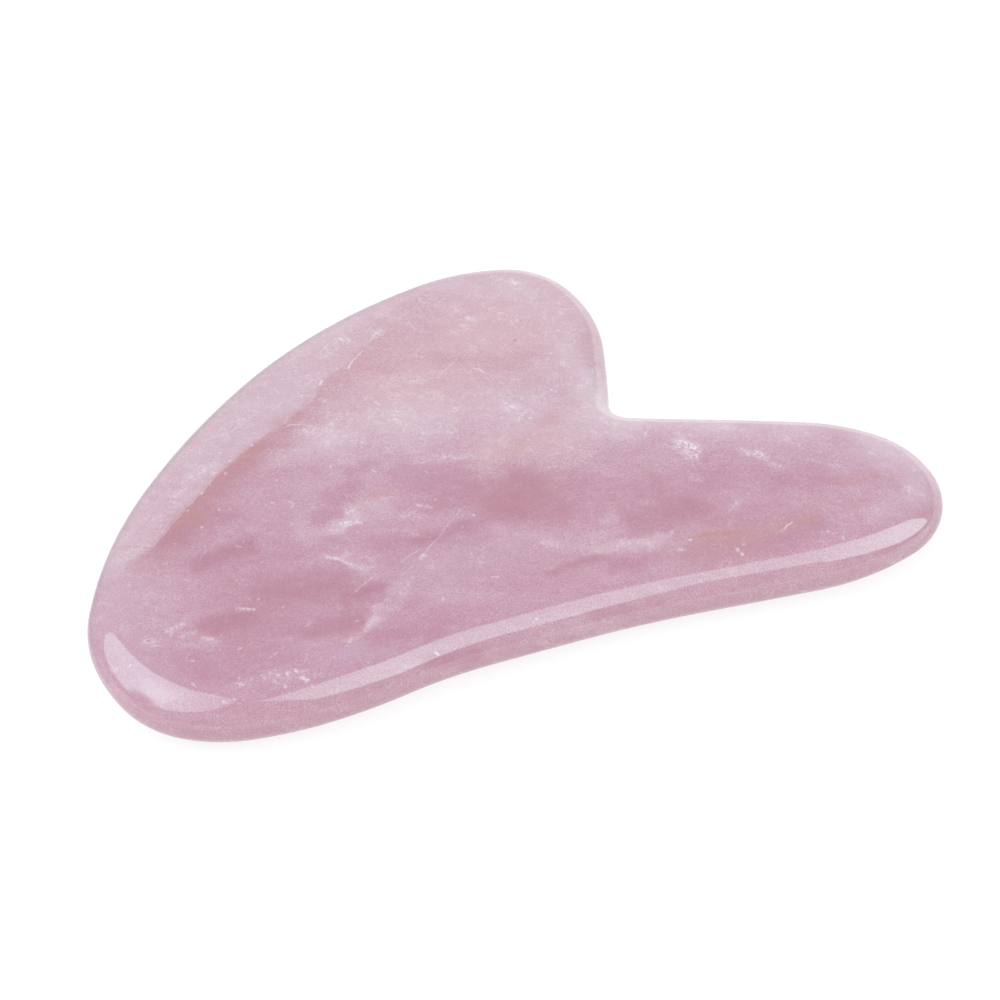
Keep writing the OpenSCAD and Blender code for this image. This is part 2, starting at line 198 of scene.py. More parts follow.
# healed cracks: points along each, half width, strength
CRACKS = [
    ([(-33.0, -3.0), (-31.5, -1.9), (-30, -0.5), (-29, 0.4), (-28, 1.2), (-27, 1.8), (-26, 2.6),
      (-24.6, 3.8)], 0.05, 0.4),
    ([(-15.9, 8.6), (-15.0, 8.85), (-14.1, 8.4), (-13.1, 7.8)], 0.05, 0.75),
    ([(-10.6, 12.95), (-10.05, 13.6)], 0.09, 1.0), ([(-7.0, 14.5), (-6.5, 15.15)], 0.10, 1.0),
    ([(-6.4, 15.3), (-5.6, 15.95), (-4.8, 16.6)], 0.07, 0.8),
    ([(-4.5, 17.1), (-3.3, 18.0), (-2.1, 18.1)], 0.06, 0.5),
    ([(-1.0, 19.4), (0.7, 20.1), (2.2, 20.9)], 0.07, 0.45),
    ([(-29.8, -6.8), (-28.4, -5.4), (-26.5, -4.2), (-25.2, -3.4)], 0.05, 0.24),
    ([(-33.6, -4.8), (-33.3, -6.4), (-30.5, -7.3), (-28.4, -8.1)], 0.06, 0.18),
    ([(-36.3, -4.5), (-34.8, -4.3)], 0.06, 0.45),
    ([(-28.2, -21.4), (-25.3, -19.8), (-22.0, -17.7)], 0.055, 0.5),
    ([(-18.0, -16.1), (-16.3, -15.0), (-14.8, -14.2)], 0.055, 0.5),
    ([(-12.2, -15.1), (-10.0, -13.7), (-7.9, -12.0), (-6.0, -10.2)], 0.05, 0.42),
    ([(-6.0, -10.2), (-4.0, -8.6), (-2.4, -7.5), (-0.9, -6.7)], 0.05, 0.42),
    ([(-0.9, -6.7), (-0.1, -6.0)], 0.07, 0.55), ([(-0.1, -6.0), (1.7, -4.6), (3.2, -3.2)], 0.06, 0.3),
    ([(-11.6, -13.3), (-9.2, -12.2), (-8.7, -12.3)], 0.05, 0.4),
    ([(4.4, 10.15), (4.9, 9.75), (5.35, 9.05)], 0.08, 0.65), ([(-6.3, 8.85), (-6.0, 8.1)], 0.08, 0.7),
    ([(-5.6, 11.7), (-5.3, 11.0), (-5.1, 10.4)], 0.06, 0.35),
    ([(23.5, -21.9), (24.9, -21.3)], 0.055, 0.7),
    ([(13.2, -20.0), (14.2, -19.75), (15.4, -19.75)], 0.05, 0.6),
    ([(-24.0, -23.7), (-21.9, -23.1), (-20.2, -22.0)], 0.08, 0.35),
    ([(-18.7, -1.6), (-18.4, -2.1), (-18.7, -2.5)], 0.06, 0.7),
    ([(-25.5, -5.3), (-25.3, -5.9), (-25.0, -6.1)], 0.05, 0.6),
    ([(-14.4, -24.2), (-14.9, -25.3)], 0.06, 0.5), ([(5.8, -17.1), (6.0, -17.7)], 0.04, 0.5),
    ([(1.2, 10.6), (2.8, 11.4), (3.4, 11.9)], 0.09, 0.3), ([(6.6, -4.2), (8.2, -4.5)], 0.07, 0.35),
    ([(-4.4, -15.1), (-4.0, -14.8), (-3.5, -14.9)], 0.05, 0.5),
    ([(-9.2, 17.1), (-7.9, 17.4), (-7.2, 17.5)], 0.06, 0.35),
]
# white inclusions at the surface: x, y, z, run dx, dy, half width, strength
FLECKS = [
    (-26.3, 2.4, 7, 0.3, 0.2, 0.09, 1.0), (-28.3, 0.5, 7, 0.2, 0.25, 0.09, 0.8),
    (-27.8, 1.3, 7, 0.1, 0.1, 0.08, 0.7), (-25.0, 3.6, 7, 0.05, -0.35, 0.08, 0.7),
    (-23.2, 4.2, 7, 0.15, 0.15, 0.10, 0.7), (-22.2, 5.9, 7, 0, 0, 0.10, 0.7),
    (-23.9, 7.6, 7, 0.3, -0.1, 0.08, 0.6), (-19.6, 7.2, 7, 0.1, 0, 0.12, 1.0),
    (-24.8, 0.5, 7, 0, 0, 0.11, 0.6), (-25.3, -0.3, 7, 0.1, 0.1, 0.08, 0.6),
    (-24.4, -0.8, 7, 0.1, 0.2, 0.08, 0.6), (-27.7, -2.1, 7, 0.15, 0.05, 0.08, 0.8),
    (-26.5, -2.3, 7, 0.3, -0.25, 0.06, 0.6), (-30.8, -3.3, 7, 0.2, -0.1, 0.07, 0.7),
    (-20.3, -1.2, 7, 0.15, -0.1, 0.12, 0.7), (-24.6, -5.2, 7, 0.05, -0.3, 0.06, 0.6),
    (-23.8, -8.7, 7, 0, 0.1, 0.09, 0.6), (-23.3, -9.0, 7, 0.1, 0, 0.07, 0.5),
    (-35.6, -9.1, 7, 0, 0.1, 0.08, 0.6), (-35.6, -10.1, 7, 0, 0.1, 0.08, 0.6),
    (-31.3, -9.6, 7, 0.1, 0, 0.10, 0.5), (-25.9, -13.3, 7, 0.35, 0.2, 0.06, 0.8),
    (-34.1, -18.7, 7, 0.15, -0.05, 0.11, 0.7), (-29.5, -18.8, 7, 0.2, 0, 0.09, 0.7),
    (-23.9, -15.1, 7, 0, 0.05, 0.09, 0.9), (-30.5, -16.6, 7, 0.05, 0.1, 0.08, 0.6),
    (-31.2, -18.4, 7, 0, 0, 0.08, 0.5), (-30.8, -22.3, 6.94, 0.1, -0.15, 0.08, 0.8),
    (-31.9, -22.6, 6.8, 0.4, 0.1, 0.06, 0.6), (-28.6, -22.7, 6.94, 0.1, -0.5, 0.09, 0.7),
    (-27.3, -22.4, 6.94, 0.05, -0.3, 0.07, 0.7), (-27.3, -23.3, 6.84, 0.15, 0.15, 0.11, 0.9),
    (-26.4, -23.4, 6.83, 0.1, 0.15, 0.14, 1.1), (-25.5, -23.1, 6.87, 0.02, -0.3, 0.11, 1.1),
    (-27.7, -23.8, 6.68, 0, 0, 0.12, 1.2), (-26.9, -24.2, 6.45, -0.02, -0.35, 0.11, 1.1),
    (-25.3, -24.0, 6.6, 0.3, -0.25, 0.16, 1.1), (-24.9, -24.5, 6.4, 0.3, 0.1, 0.13, 1.1),
    (-24.6, -24.9, 6.2, 0.05, -0.1, 0.10, 0.8), (-28.5, -23.4, 6.8, -0.25, 0.1, 0.08, 0.6),
    (-32.8, -23.9, 6.15, 0.15, -0.15, 0.10, 0.9), (-31.7, -24.0, 6.3, -0.05, -0.55, 0.10, 1.0),
    (-34.9, -21.4, 6.7, 0.2, -0.3, 0.10, 0.7), (-39.4, -16.6, 6.27, 0, 0, 0.13, 0.8),
    (-12.2, -24.4, 5.5, 0.4, -0.3, 0.12, 1.1), (-1.9, -23.7, 5.73, 0.02, -0.15, 0.12, 1.0),
    (-10.6, -25.0, 4.4, 0.1, 0, 0.12, 1.2), (-2.9, -9.6, 7, 0.05, 0, 0.13, 1.1),
    (-5.7, -6.4, 7, 0.2, 0.2, 0.06, 0.8), (-4.5, -10.8, 7, 0.05, 0.05, 0.07, 0.8),
    (-11.3, -15.6, 7, 0.1, -0.1, 0.09, 0.9), (-13.2, -17.3, 7, 0.1, 0.15, 0.09, 1.1),
    (-18.2, -19.3, 7, 0.2, 0.1, 0.10, 0.7), (-0.8, -12.3, 7, 0, 0.05, 0.09, 0.8),
    (-5.0, -14.5, 7, 0.05, 0, 0.08, 0.7), (-4.3, -18.2, 7, 0.6, -0.15, 0.09, 0.6),
    (-4.3, -20.6, 7, 0.05, 0.1, 0.08, 0.7), (-9.7, -19.4, 7, 0.15, 0.25, 0.10, 0.6),
    (-9.8, -0.3, 7, 0.2, -0.3, 0.08, 0.8), (-13.4, 1.6, 7, 0.05, 0.1, 0.10, 0.7),
    (-13.8, 0.6, 7, 0.5, 0, 0.08, 0.6), (-5.1, -2.2, 7, 0.15, -0.3, 0.06, 0.8),
    (-18.9, 1.6, 7, 0, 0.1, 0.10, 0.8), (-18.3, 1.8, 7, 0.05, 0, 0.08, 0.7),
    (-16.9, -0.4, 7, 0.1, 0.2, 0.07, 0.5), (-16.2, -1.8, 7, 0.15, -0.1, 0.08, 0.7),
    (-4.7, 6.8, 7, 0.1, 0, 0.14, 0.9), (-9.1, 9.6, 7, 0.05, 0, 0.09, 0.7),
    (-8.6, 12.3, 7, 0.15, 0.3, 0.09, 0.8), (-8.5, 14.0, 7, 0.1, 0, 0.08, 0.7),
    (-0.5, 1.1, 7, 0, 0.05, 0.10, 0.6), (0.2, 0.3, 7, 0.2, -0.3, 0.06, 0.6),
    (7.0, 1.3, 7, 0.2, 0.1, 0.12, 1.1), (4.4, 2.4, 7, 0.15, -0.1, 0.12, 0.9),
    (10.4, 4.5, 7, 0.1, -0.1, 0.12, 1.0), (10.8, 4.0, 7, 0.05, 0, 0.10, 1.0),
    (11.2, 4.7, 7, 0.05, 0.1, 0.09, 0.7), (7.4, 4.4, 7, 0, 0.1, 0.08, 0.7),
    (5.7, -1.5, 7, 0.1, 0.05, 0.09, 0.7), (11.9, 0.4, 7, 0.05, 0, 0.08, 0.8),
    (12.9, 5.6, 7, 0.1, -0.3, 0.06, 0.6), (15.9, 16.5, 6.9, 0.1, 0, 0.11, 0.9),
    (12.4, 15.4, 7, 0.05, 0.1, 0.08, 0.6), (14.3, 16.0, 7, 0, 0.15, 0.08, 0.6),
    (8.9, 10.8, 7, 0.05, 0.05, 0.09, 0.6), (14.9, -20.1, 7, 0.3, 0, 0.08, 1.0),
    (13.6, -21.1, 7, 0.35, 0, 0.09, 1.0), (13.8, -18.5, 7, 0, -0.2, 0.10, 0.7),
    (18.7, -22.6, 6.83, 0.1, -0.4, 0.11, 1.1), (19.5, -22.4, 6.89, 0.15, -0.05, 0.07, 0.9),
    (19.0, -23.2, 6.6, 0.1, -0.2, 0.10, 1.1), (21.5, -19.4, 7, 0.05, 0, 0.08, 0.8),
    (27.3, -23.3, 6.85, 0.1, -0.5, 0.10, 0.8), (27.7, -23.5, 6.8, 0.1, -0.1, 0.09, 1.0),
    (29.2, -24.1, 6.6, 0.1, 0, 0.09, 1.1), (28.9, -24.3, 6.5, 0.1, -0.45, 0.12, 0.9),
    (28.5, -20.5, 7, 0.05, -0.4, 0.07, 0.8), (30.0, -11.4, 7, 0.1, 0.05, 0.08, 0.7),
    (32.6, -11.3, 7, 0.2, 0.1, 0.07, 0.6), (22.6, -16.0, 7, 0.2, -0.2, 0.09, 0.7),
    (35.4, -20.6, 7, 0, 0.2, 0.05, 0.6), (-4.3, -6.9, 7, 0.1, 0, 0.06, 0.5),
]
# small open pits in the polished face: x, y, radius, depth
PITS = [
    (9.8, 12.6, 0.20, 0.05), (11.4, 15.2, 0.14, 0.05), (-26.9, -20.8, 0.13, 0.05),
    (-37.0, -14.9, 0.14, 0.05), (-10.2, -7.5, 0.11, 0.04), (-24.0, 6.5, 0.10, 0.03),
    (5.9, -17.4, 0.15, 0.04), (-33.5, -3.0, 0.10, 0.03), (-8.6, -18.9, 0.09, 0.03),
    (16.9, -6.2, 0.09, 0.03), (-2.9, -9.6, 0.12, 0.03), (-14.0, 4.2, 0.10, 0.03),
]
# x, y along the line that bounds the painted back margin: a pale zone painted in for the far rim seen
# by refraction through the top face, with a painted dark border along this line
REFRACTION_LINE = [
    (-36, -4.6), (-34, -3.6), (-33, -3.0), (-31.5, -1.9), (-30, -0.5), (-29, 0.4), (-28, 1.2),
    (-27, 1.8), (-26, 2.6), (-25, 3.4), (-24, 4.2), (-22, 5.3), (-20, 6.7), (-18, 8.1), (-16, 8.8),
    (-14, 10.0), (-12, 11.0), (-10.5, 13.0), (-8.5, 14.3), (-6.5, 15.5), (-4, 17.6), (-1, 19.5),
    (2.5, 21.2), (6, 23.5),
]
# x, strength of the painted dark border along that line
REFRACTION_BORDER_SHADE = [
    (-36, 0), (-33, 0.45), (-29, 0.95), (-24, 0.85), (-20, 0.8), (-17, 0.5), (-13, 0.25),
    (-9, 0.4), (-5, 0.25), (-2, 0.3), (3, 0.0),
]


# ----------------------------------------------------------------------------
# Outline: stations joined in pairs by tangent arcs, fitted to the CAD plate's box
# ----------------------------------------------------------------------------
def heading(angle):
    return np.array([math.cos(angle), math.sin(angle)])


def arcs_between(first, last):
    """Two tangent arcs joining two stations, each as (start, direction, turn, length)."""
    start, end = np.array(first[:2], float), np.array(last[:2], float)
    angle1, angle2 = math.radians(first[2]), math.radians(last[2])
    dir1, dir2, gap = heading(angle1), heading(angle2), end - start
    # reach is the equal tangent length at both stations, a root of a quadratic
    square, linear, const = 2 * (dir1 @ dir2 - 1), -2 * (gap @ (dir1 + dir2)), gap @ gap
    if abs(square) < 1e-9:
        reach = -const / linear
    else:
        reach = (-linear - math.sqrt(linear * linear - 4 * square * const)) / (2 * square)
    corner1, corner2 = start + reach * dir1, end - reach * dir2
    mid = (corner1 + corner2) / 2
    mid_angle = math.atan2(corner2[1] - corner1[1], corner2[0] - corner1[0])
    arcs = []
    for p, angle_in, q, angle_out in ((start, angle1, mid, mid_angle), (mid, mid_angle, end, angle2)):
        turn = (angle_out - angle_in + math.pi) % (2 * math.pi) - math.pi
        chord = float(np.linalg.norm(q - p))
        length = chord if abs(turn) < 1e-6 else chord * (turn / 2) / math.sin(turn / 2)
        arcs.append((p, angle_in, turn, length))
    return arcs


ARCS = [arc for first, last in zip(STATIONS, STATIONS[1:] + STATIONS[:1])
        for arc in arcs_between(first, last)]
ARC_ENDS = np.cumsum([arc[3] for arc in ARCS])
PERIMETER = float(ARC_ENDS[-1])


def outline(places):
    """Unfitted points at distances round the outline, with the direction of travel at each."""
    points, angles = [], []
    for place in places:
        i = min(int(np.searchsorted(ARC_ENDS, place, side="right")), len(ARCS) - 1)
        start, angle, turn, length = ARCS[i]
        share = (place - (ARC_ENDS[i] - length)) / length
        part = turn * share
        if abs(turn) < 1e-6:
            chord = length * share
        else:
            chord = 2 * (length / turn) * math.sin(part / 2)
        points.append(start + chord * heading(angle + part / 2))
        angles.append(angle + part)
    return np.array(points), np.array(angles)


def box_fit(points):
    """Scale and shift that take the points' own box to the CAD plate's box."""
    low, high = points.min(0), points.max(0)
    want_low = np.array([plate_lo.x, plate_lo.y]) / MM
    want_high = np.array([plate_hi.x, plate_hi.y]) / MM
    scale = (want_high - want_low) / (high - low)
    return scale, want_low - low * scale


SAMPLES = 6000
FIT_SCALE, FIT_SHIFT = box_fit(outline([PERIMETER * i / SAMPLES for i in range(SAMPLES)])[0])

# The rim's section is a nose arc between two shoulder arcs that run into the flats.
NOSE_INSET = RIM - NOSE
SHOULDER = (NOSE_INSET * NOSE_INSET + THICK * THICK / 4 - NOSE * NOSE) / (THICK - 2 * NOSE)
HANDOVER = math.atan2(SHOULDER - THICK / 2, NOSE_INSET)   # normal's elevation where they meet


def rim_point(elevation):
    """Inset and height of the rim where the surface normal has this elevation."""
    if abs(elevation) <= HANDOVER:
        return (RIM - NOSE_INSET - NOSE * math.cos(elevation),
                THICK / 2 + NOSE * math.sin(elevation))
    side = 1 if elevation > 0 else -1
    return (RIM - SHOULDER * math.cos(elevation),
            THICK / 2 + side * (THICK / 2 - SHOULDER) + SHOULDER * math.sin(elevation))


def seg_dist(points, a, b):
    """Distance of each point from the segment a-b."""
    a, b = np.asarray(a, float), np.asarray(b, float)
    ab = b - a
    square = float(ab @ ab)
    if square > 1e-12:
        share = np.clip((points - a) @ ab / square, 0, 1)[:, None]
    else:
        share = np.zeros((len(points), 1))
    return np.linalg.norm(points - a - share * ab, axis=1)


def ease(x, start, end):
    """0 at start, 1 at end, smooth between."""
    t = np.clip((x - start) / (end - start), 0, 1)
    return t * t * (3 - 2 * t)


def legs(path):
    return zip(path, path[1:])


# ----------------------------------------------------------------------------
# Mesh: an oval rim swept round the outline, and two flats, finer at small marks
# ----------------------------------------------------------------------------
def column_places():
    """Distances round the outline for the rim's columns, closer beside the rim's inclusions."""
    spots = np.array([fleck[:2] for fleck in FLECKS if fleck[2] < 6.96])
    place, places = 0.0, []
    while place < PERIMETER - 0.15:
        places.append(place)
        point, angle = outline([place])
        inner = (point[0] * FIT_SCALE + FIT_SHIFT
                 + 2.0 * np.array([-math.sin(angle[0]), math.cos(angle[0])]))
        gap = float(np.hypot(*(spots - inner).T).min())
        place += RIM_CLOSE if gap < 1.3 else WIDE
    return places


columns, angles = outline(column_places())
columns = columns * FIT_SCALE + FIT_SHIFT
COLUMNS = len(columns)
inward = np.stack([-np.sin(angles), np.cos(angles)], 1)
elevations = [math.pi / 2 + (HANDOVER - math.pi / 2) * j / UPPER_STEPS for j in range(UPPER_STEPS)]
elevations += [HANDOVER - 2 * HANDOVER * j / NOSE_STEPS for j in range(NOSE_STEPS)]
elevations += [-HANDOVER + (HANDOVER - math.pi / 2) * j / LOWER_STEPS
               for j in range(LOWER_STEPS + 1)]
profile = [rim_point(elevation) for elevation in elevations]
ROWS = len(profile) - 1


def close_cells(marks):
    """Cells (i, j) of the close lattice within reach of the marks (a, b, reach)."""
    cells = set()
    for a, b, reach in marks:
        j0, j1 = (int(math.floor(v / (CLOSE * ROW_PITCH)))
                  for v in (min(a[1], b[1]) - reach, max(a[1], b[1]) + reach))
        i0, i1 = (int(math.floor(v / CLOSE))
                  for v in (min(a[0], b[0]) - reach, max(a[0], b[0]) + reach))
        ij = np.array([(i, j) for j in range(j0, j1 + 2) for i in range(i0 - 1, i1 + 2)])
        xy = np.stack([(ij[:, 0] + 0.5 * (ij[:, 1] % 2)) * CLOSE, ij[:, 1] * CLOSE * ROW_PITCH], 1)
        cells |= {tuple(cell) for cell in ij[seg_dist(xy, a[:2], b[:2]) < reach]}
    return cells


def inside(points, loop, gap):
    """The points that lie inside the loop and more than gap from its vertices."""
    keep = np.zeros(len(points), bool)
    after = np.roll(loop, -1, 0)
    batch = 1500
    for s in range(0, len(points), batch):
        part = points[s:s + batch]
        x, y = part[:, 0, None], part[:, 1, None]
        cross = (loop[None, :, 1] > y) != (after[None, :, 1] > y)
        with np.errstate(divide="ignore", invalid="ignore"):
            cut = (loop[None, :, 0] + (y - loop[None, :, 1]) * (after[:, 0] - loop[:, 0])[None]
                   / (after[:, 1] - loop[:, 1])[None])
        odd = (cross & (cut > x)).sum(1) % 2 == 1
        near_loop = np.hypot(x - loop[None, :, 0], y - loop[None, :, 1]).min(1)
        keep[s:s + batch] = odd & (near_loop > gap)
    return points[keep]


def lattice(loop, step):
    """Triangular lattice over the loop's box."""
    low, high = loop.min(0), loop.max(0)
    rows = int((high[1] - low[1]) / (step * ROW_PITCH)) + 1
    return np.array([(low[0] + i * step + (0.5 * step if r % 2 else 0), low[1] + r * step * ROW_PITCH)
                     for r in range(rows) for i in range(int((high[0] - low[0]) / step) + 1)])


def hollow(x, y):
    """Depth below the flat: the pits, and the faint unevenness of hand polishing."""
    depth = 0.004 * (1 + noise.noise(Vector((x * 0.09, y * 0.09, 3.1))))
    for pit_x, pit_y, radius, deep in PITS:
        if abs(x - pit_x) < 0.3 and abs(y - pit_y) < 0.3:
            away = math.hypot(x - pit_x, y - pit_y) / radius
            if away < 1.2:
                depth += deep * (1 - (away / 1.2) ** 2) ** 2
    return depth


def top_points(loop):
    """Points of the top flat: wide lattice, close lattice at the marks, rings at the pits."""
    marks = [((x, y), (x + dx, y + dy), width + 0.24)
             for x, y, z, dx, dy, width, _ in FLECKS if z > 6.8]
    marks += [(a, b, width + 0.26) for path, width, _ in CRACKS for a, b in legs(path)]
    marks += [(c[:2], c[2:4], c[4] + c[5]) for c in CLOUDS if c[4] < 0.25]
    # close lattice along the line that bounds the painted image of the far rim
    marks += [(a, b, 0.42) for a, b in legs(REFRACTION_LINE) if -35 < a[0] < -2]
    cells = close_cells(marks)
    close = np.array([((i + 0.5 * (j % 2)) * CLOSE, j * CLOSE * ROW_PITCH) for i, j in sorted(cells)])
    wide = lattice(loop, WIDE)
    ij = np.stack([np.floor(wide[:, 0] / CLOSE), np.round(wide[:, 1] / (CLOSE * ROW_PITCH))], 1)
    wide = wide[[all((i + di, j + dj) not in cells for di in (-1, 0, 1) for dj in (-1, 0, 1))
                 for i, j in ij.astype(int)]]
    top = inside(np.vstack([wide, close]), loop, 0.06)
    rings = ((0.3, 7), (0.6, 12), (0.85, 16), (1.1, 18), (1.4, 20))    # share of radius, count
    for x, y, r, _ in PITS:
        top = top[np.hypot(top[:, 0] - x, top[:, 1] - y) > 1.55 * r]
        ring = [(x, y)] + [(x + f * r * math.cos(a), y + f * r * math.sin(a))
                           for f, m in rings for a in (2 * math.pi * i / m for i in range(m))]
        top = np.vstack([top, np.array(ring)])
    return top


def fill_flat(verts, faces, row, loop, points, under):
    """Triangulate a flat inside a row of the rim; the top one is also hollowed."""
    z = profile[row][1] + FLOOR_Z
    every = [Vector(p) for p in loop] + [Vector(p) for p in points]
    border = [(i, (i + 1) % COLUMNS) for i in range(COLUMNS)]
    new_verts, _, new_faces, origins, _, _ = delaunay_2d_cdt(every, border, [], 1, 1e-6)
    index = {}
    for i, v in enumerate(new_verts):
        if origins[i] and min(origins[i]) < COLUMNS:
            index[i] = row * COLUMNS + min(origins[i])
        else:
            index[i] = len(verts)
            verts.append((v.x, v.y, z if under else z - hollow(v.x, v.y)))
    for face in new_faces:
        tri = [index[i] for i in face]
        faces.append(tuple(reversed(tri)) if under else tuple(tri))


def build_plate():
    verts, faces = [], []
    for inset, height in profile:
        verts += [(x, y, height + FLOOR_Z) for x, y in columns + inward * inset]
    for j in range(ROWS):
        for i in range(COLUMNS):
            k = (i + 1) % COLUMNS
            faces.append((j * COLUMNS + i, (j + 1) * COLUMNS + i,
                          (j + 1) * COLUMNS + k, j * COLUMNS + k))
    loop = columns + inward * profile[0][0]
    fill_flat(verts, faces, 0, loop, top_points(loop), under=False)
    loop = columns + inward * profile[-1][0]
    fill_flat(verts, faces, ROWS, loop, inside(lattice(loop, UNDER), loop, 0.25), under=True)
    return np.array(verts), faces


verts, faces = build_plate()
mesh = bpy.data.meshes.new("stone_plate")
mesh.from_pydata([tuple(v) for v in verts * MM], [], faces)
mesh.polygons.foreach_set("use_smooth", np.ones(len(mesh.polygons), bool))
mesh.update()
plate = bpy.data.objects.new("stone_plate", mesh)
scene.collection.objects.link(plate)


# ----------------------------------------------------------------------------
# The stone's inner structure as vertex attributes that the material reads, with painted light and
# shade: the far rim's refracted image, its dark border and shade in the pits
# ----------------------------------------------------------------------------
def wander(points, scale, seed):
    shifts = np.empty((len(points), 3))
    for i, (x, y, z) in enumerate(points * scale + seed):
        shifts[i] = noise.noise_vector((x, y, z))
    return shifts


def masks(rows, where, join=np.add):
    """Soft capsules (a, b, radius, softness, gain) joined at each point."""
    total = np.zeros(len(where))
    for a, b, radius, soft, gain in rows:
        a, b = (tuple(v) + (FACE_Z,) * (3 - len(v)) for v in (a, b))
        dist = seg_dist(where, a, b)
        total = join(total, gain * ease(dist, radius + soft, max(radius - soft, 0.0)))
    return total


def capsules(table):
    return [(row[:2], row[2:4], *row[4:]) for row in table]


depth = TOP_Z - verts[:, 2]
veil = verts + depth[:, None] * np.array(DIP)
slow, quick, tiny = wander(veil, 0.16, 11.0), wander(veil, 0.8, 5.0), wander(veil, 2.6, 2.0)
zone_at = veil + 1.1 * slow + 0.55 * quick + 0.12 * tiny
crack_at = veil + 0.22 * slow + 0.16 * quick + 0.07 * tiny
fleck_at = verts + 0.14 * tiny

MARK_SOFT = 0.07
on_face = ease(verts[:, 2], TOP_Z - 0.12, TOP_Z - 0.03)
# roughly the mm outside the line that bounds the painted image of the far rim
outside = 0.75 * (crack_at[:, 1] - np.interp(crack_at[:, 0], *zip(*REFRACTION_LINE)))
# painted shade: a dark border along that line, part of the refracted image of the far rim
refraction_border_shade = (ease(outside, -3.2, -0.25) * ease(outside, 0.25, -0.2)
              * np.interp(crack_at[:, 0], *zip(*REFRACTION_BORDER_SHADE)))
# painted light: the pale image of the far rim, refracted through the top face, painted as a milky
# back margin
painted_rim_refraction = ease(outside, -0.3, 0.5) * (1 - ease(crack_at[:, 0], -20.0, -3.0))
crack_noise = np.array([noise.noise((x, y, z)) for x, y, z in crack_at * 1.3])
crack_rows = [(a, b, width, MARK_SOFT, min(1.25 * gain, 1.0))
              for path, width, gain in CRACKS for a, b in legs(path)]
fleck_rows = [((x, y, z), (x + dx, y + dy, z), width, MARK_SOFT, gain)
              for x, y, z, dx, dy, width, gain in FLECKS]
# painted shade in the open pits
pit_shade_rows = [((x, y), (x, y), r * 0.8, MARK_SOFT, 1.0) for x, y, r, _ in PITS]
attributes = {
    # the stone's own tone, plus the painted image of the far rim and its painted dark border
    "tone": masks(capsules(ZONES), zone_at) + 0.75 * painted_rim_refraction - 0.85 * refraction_border_shade,
    "lilac": masks(capsules(LILAC), zone_at),
    # real iron stains, plus the painted dark border of the far rim's refracted image
    "stain_and_border_shade": masks(capsules(STAINS), crack_at) + 0.6 * refraction_border_shade,
    "cloud": masks(capsules(CLOUDS), crack_at),
    "crack": on_face * masks(crack_rows, crack_at, np.maximum) * ease(crack_noise, -0.8, -0.15),
    "fleck": masks(fleck_rows, fleck_at, np.maximum),
    "pit_shade": masks(pit_shade_rows, verts, np.maximum),
}
for name, values in attributes.items():
    layer = mesh.attributes.new(name, "FLOAT", "POINT")
    layer.data.foreach_set("value", values.astype(np.float32))


class Tree:
    """Short forms for wiring a node tree. Any value may be a number or a socket."""

    def __init__(self, tree):
        self.tree = tree

    def put(self, socket, value):
        if isinstance(value, bpy.types.NodeSocket):
            self.tree.links.new(value, socket)
        elif value is not None:
            socket.default_value = value

    def fill(self, node, inputs):
        for key, value in inputs.items():
            self.put(node.inputs[key], value)

    def node(self, kind, inputs=None, **props):
        node = self.tree.nodes.new(kind)
        for key, value in props.items():
            setattr(node, key, value)
        self.fill(node, inputs or {})
        return node

    def math(self, operation, a, b=None, c=None):
        return self.node("ShaderNodeMath", {0: a, 1: b, 2: c}, operation=operation).outputs[0]

    def add(self, a, b):
        return self.math("ADD", a, b)

    def mul(self, a, b):
        return self.math("MULTIPLY", a, b)

    def mul_add(self, value, gain, base):
        return self.math("MULTIPLY_ADD", value, gain, base)

    def vec(self, operation, a, b, output="Vector"):
        node = self.node("ShaderNodeVectorMath", {0: a, 1: b}, operation=operation)
        return node.outputs[output]

    def dot(self, a, b):
        return self.vec("DOT_PRODUCT", a, b, "Value")

    def scale(self, vector, factor):
        return self.node("ShaderNodeVectorMath", {0: vector, "Scale": factor},
                         operation="SCALE").outputs["Vector"]

    def smooth(self, x, start, end, low=0.0, high=1.0):
        """low at start, high at end, smooth between."""
        inputs = {"Value": x, "From Min": start, "From Max": end, "To Min": low, "To Max": high}
        return self.node("ShaderNodeMapRange", inputs, interpolation_type="SMOOTHSTEP",
                         clamp=False).outputs["Result"]

    def noise(self, vector, scale, detail=2.0, rough=0.5, output=0):
        """Noise value, or its colour as output 1."""
        inputs = {"Vector": vector, "Scale": scale, "Detail": detail, "Roughness": rough}
        return self.node("ShaderNodeTexNoise", inputs).outputs[output]

    def mix(self, factor, a, b):
        return self.node("ShaderNodeMix", {0: factor, 6: a, 7: b}, data_type="RGBA",
                         clamp_factor=True).outputs[2]


# ----------------------------------------------------------------------------
# Rose quartz: a pink body with milky veils, stained fractures, healed cracks and white inclusions,
# under a high polish, with painted light and shade in its colour: the far rim's refracted image,
# highlights and shade in the pits
# ----------------------------------------------------------------------------
SKY_SHEEN = 0.09                        # reflected sky on the top face
DAYLIGHT = (1.185, 1.335, 1.305)        # light on the top face
# tone, sRGB colour shown
TONES = [
    (-1.5, (188, 138, 156)), (-0.9, (193, 146, 164)), (-0.3, (199, 157, 174)),
    (0.2, (206, 169, 184)), (0.7, (212, 181, 194)), (1.2, (216, 191, 202)),
    (1.8, (221, 202, 212)), (2.6, (230, 217, 225)),
]
TONE_LOW, TONE_SPAN = -1.8, 4.6         # tones covered by the ramp
CAST, STAIN, WHITE = 0.45, 0.68, 0.72   # mixing strengths of the tints and white marks


def linear(level):
    level /= 255
    return level / 12.92 if level <= 0.04045 else ((level + 0.055) / 1.055) ** 2.4


def body(*srgb):
    """Base colour that shows as this sRGB colour on the lit top face."""
    return tuple(max(0.01, (linear(c) - SKY_SHEEN) / k) for c, k in zip(srgb, DAYLIGHT)) + (1.0,)


